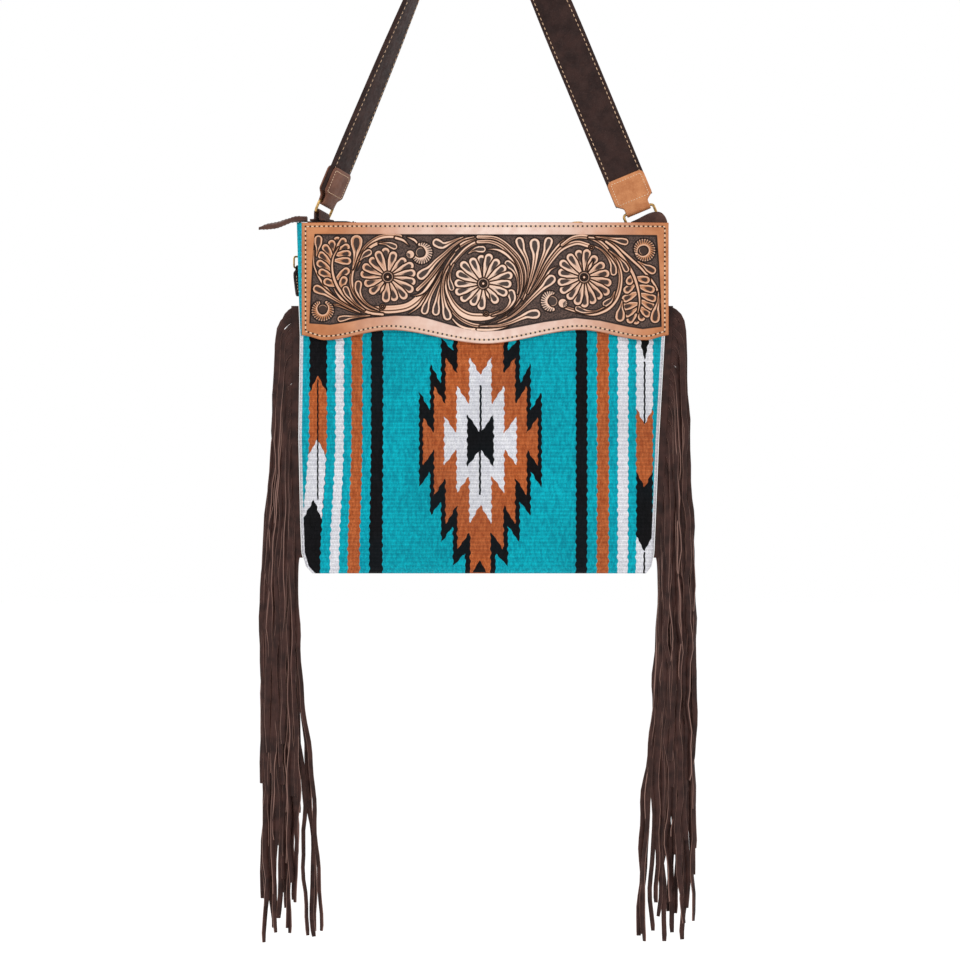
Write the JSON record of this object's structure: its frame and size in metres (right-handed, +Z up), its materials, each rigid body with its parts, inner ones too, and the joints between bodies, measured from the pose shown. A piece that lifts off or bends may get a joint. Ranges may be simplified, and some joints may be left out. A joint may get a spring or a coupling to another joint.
{
  "type": "tooled leather and woven cloth shoulder bag",
  "caption": "Flat zipped shoulder bag of striped woven cloth with a floral tooled leather yoke, leather strap on brass rings and long leather fringes down both sides, hanging.",
  "frame": {"origin": "the underside of the strap's highest point, where the bag hangs on a hook or shoulder", "axes": "+Z up, -Y out of the tooled front, +X to the right of someone looking at the front"},
  "size_m": [0.4182, 0.0378, 1.0335],
  "materials": {
    "woven_cloth": "thick ribbed hand-woven wool with stripes and a stepped diamond",
    "tan_leather": "vegetable-tanned, tooled and antiqued",
    "dark_leather": "oiled dark brown",
    "fringe_leather": "soft matt dark brown, cut edges paler",
    "brass": "antique brass",
    "zipper_black": "moulded black teeth on woven tape"
  },
  "bodies": {
    "root": {"front_panel": "woven_cloth", "back_panel": "woven_cloth", "tooled_yoke": "tan_leather", "zipper_band": "dark_leather", "zipper_teeth": "zipper_black", "zipper_slider": "brass", "zipper_tail": "dark_leather", "strap": "dark_leather", "strap_tab_left": "tan_leather", "ring_left": "brass", "ring_anchor_left": "dark_leather", "fringe_left": "fringe_leather", "strap_tab_right": "tan_leather", "ring_right": "brass", "ring_anchor_right": "dark_leather", "fringe_right": "fringe_leather", "pocket_zipper": "zipper_black", "pocket_slider": "brass", "pocket_ring": "brass", "pocket_pull": "dark_leather"}
  },
  "joints": []
}
